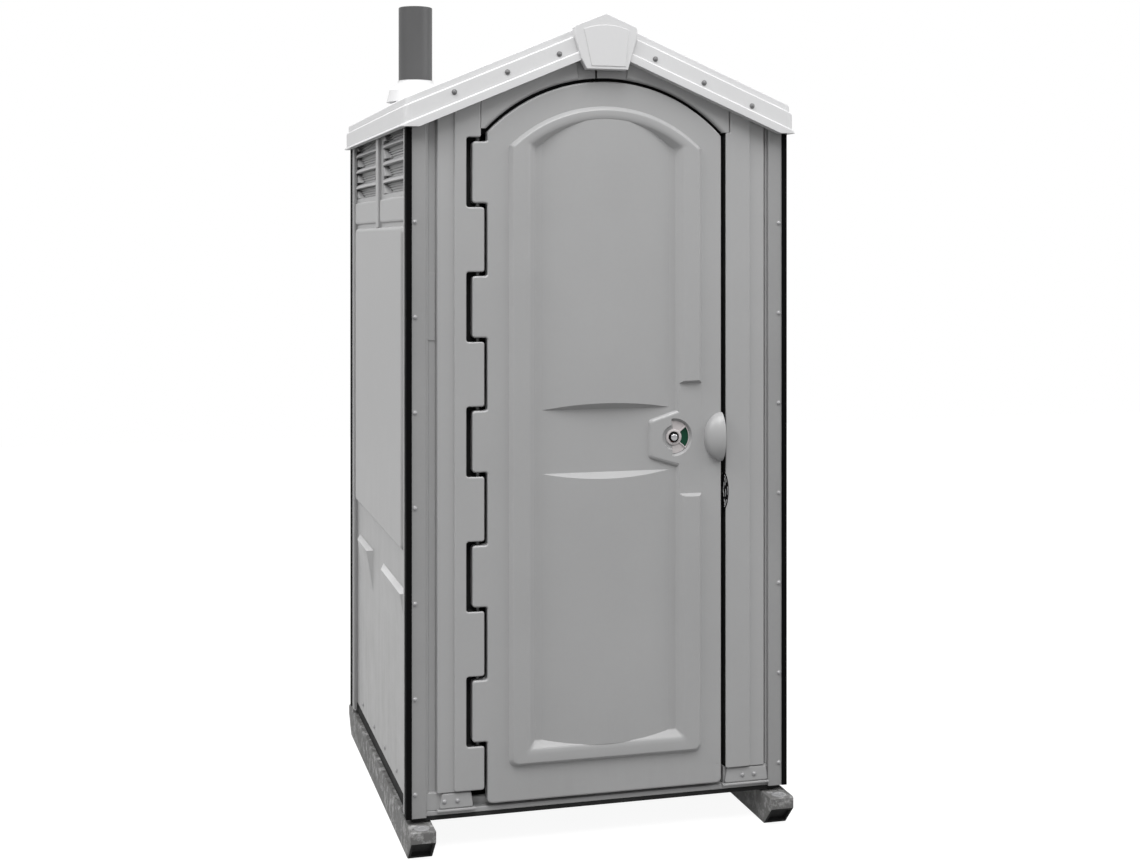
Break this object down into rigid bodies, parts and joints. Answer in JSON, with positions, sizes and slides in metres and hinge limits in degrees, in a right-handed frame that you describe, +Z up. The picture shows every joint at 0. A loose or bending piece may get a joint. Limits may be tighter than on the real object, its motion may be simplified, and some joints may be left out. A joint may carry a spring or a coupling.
{
  "type": "portable toilet cabin",
  "caption": "Moulded plastic cabin on two runners, with a gabled roof, vent pipe, louvred side walls and a hinged arched door with a turning latch.",
  "frame": {"origin": "centre of the footprint at ground level", "axes": "+X towards the cabin's right seen from the front, +Y towards its back, +Z up; the door is on the -Y side"},
  "size_m": [1.146, 1.264, 2.454],
  "materials": {
    "wall_plastic": "fine satin moulded plastic",
    "roof_plastic": "translucent white moulded plastic",
    "black_trim": "satin black",
    "pipe_plastic": "satin extruded plastic",
    "runner_plastic": "scuffed moulded plastic",
    "steel": "bright zinc",
    "indicator": "coloured indicator disc"
  },
  "bodies": {
    "cabin": {"left_skid": "runner_plastic", "right_skid": "runner_plastic", "base_floor": "runner_plastic", "front_sill": "wall_plastic", "left_wall": "wall_plastic", "right_wall": "wall_plastic", "back_wall": "wall_plastic", "left_front_louvre": "wall_plastic", "left_rear_louvre": "wall_plastic", "right_front_louvre": "wall_plastic", "right_rear_louvre": "wall_plastic", "front_left_corner": "wall_plastic", "front_right_corner": "wall_plastic", "back_left_corner": "wall_plastic", "back_right_corner": "wall_plastic", "front_left_trim": "black_trim", "front_right_trim": "black_trim", "back_left_trim": "black_trim", "back_right_trim": "black_trim", "hinge_post": "wall_plastic", "latch_post": "wall_plastic", "left_header": "wall_plastic", "right_header": "wall_plastic", "roof": "roof_plastic", "vent_pipe": "pipe_plastic", "pipe_collar": "roof_plastic", "hinge_rod": "steel", "latch_keeper": "black_trim"},
    "door_leaf": {"door": "wall_plastic", "door_pull": "wall_plastic", "lock_cover": "wall_plastic"},
    "latch": {"latch_lever": "black_trim", "indicator_disc": "indicator", "lock_screw": "steel"}
  },
  "joints": [
    {"name": "door_hinge", "type": "hinge", "parent": "cabin", "child": "door_leaf", "pos_m": [-0.3545, -0.558, 1.1], "axis": [0, 0, -1], "range_deg": [0, 98]},
    {"name": "latch_turn", "type": "hinge", "parent": "door_leaf", "child": "latch", "pos_m": [0.2115, -0.53, 1.119], "axis": [0, -1, 0], "range_deg": [0, 90]}
  ]
}
